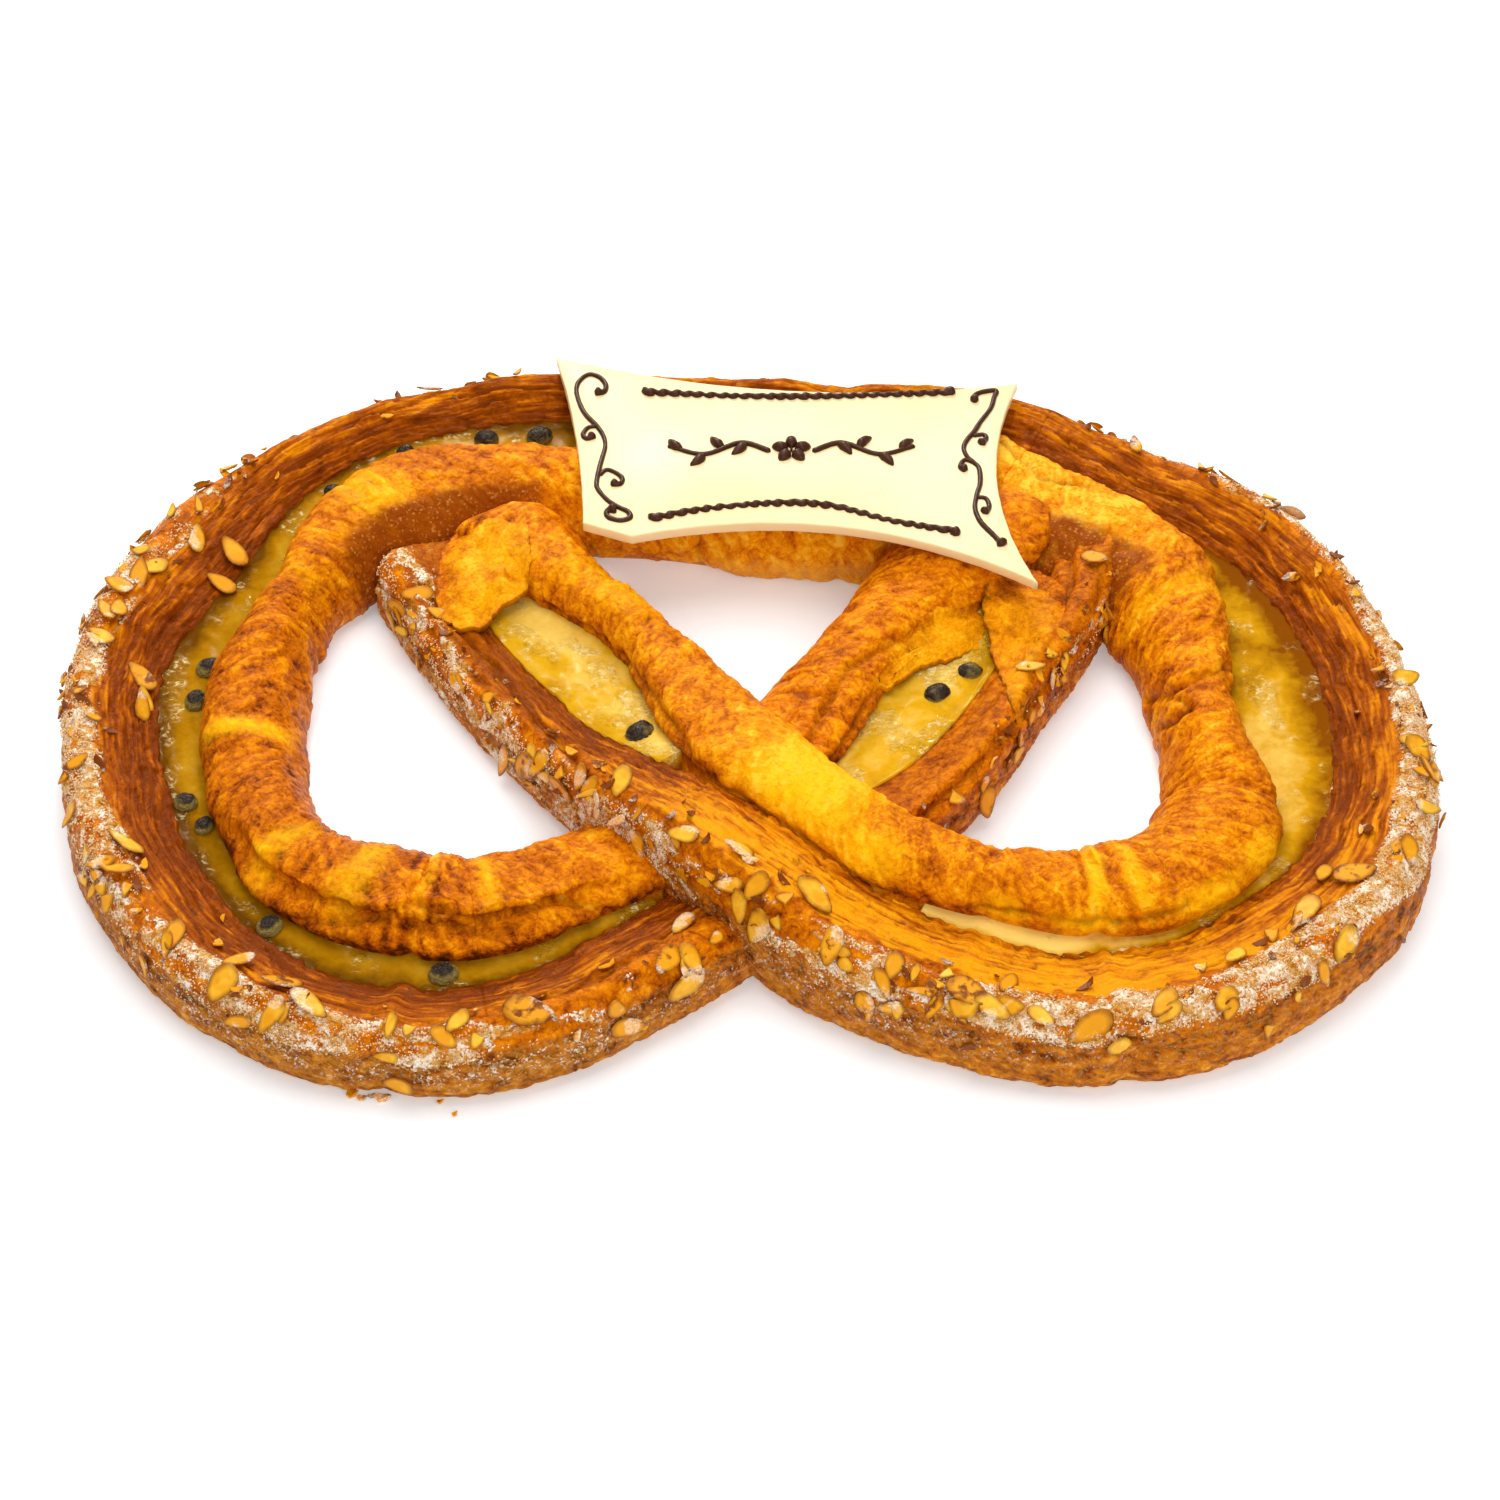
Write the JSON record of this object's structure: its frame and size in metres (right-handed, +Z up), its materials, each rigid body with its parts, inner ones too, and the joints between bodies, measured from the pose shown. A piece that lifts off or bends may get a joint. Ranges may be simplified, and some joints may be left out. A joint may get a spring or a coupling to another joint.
{
  "type": "kringle",
  "caption": "Pretzel-shaped kringle of flaky dough, split along its top over custard with raisins, with flaked almonds and a white chocolate plaque with a piped flower sprig.",
  "frame": {"origin": "middle of the bounding box's base, on the surface the kringle lies on", "axes": "+X to the right seen from the front, along the kringle's length; +Y to the back, where the plaque lies; +Z up"},
  "size_m": [0.5623, 0.4048, 0.0537],
  "materials": {
    "baked_dough": "satin, flaky",
    "custard": "gloss",
    "raisin": "satin, wrinkled",
    "white_chocolate": "satin"
  },
  "bodies": {
    "root": {"pastry": "baked_dough", "custard_right_arm": "custard", "custard_left_ring": "custard", "custard_right_ring": "custard", "custard_left_arm": "custard", "raisin_01": "raisin", "raisin_02": "raisin", "raisin_03": "raisin", "raisin_04": "raisin", "raisin_05": "raisin", "raisin_06": "raisin", "raisin_07": "raisin", "raisin_08": "raisin", "raisin_09": "raisin", "raisin_10": "raisin", "raisin_11": "raisin", "raisin_12": "raisin", "raisin_13": "raisin", "plaque": "white_chocolate"}
  },
  "joints": []
}
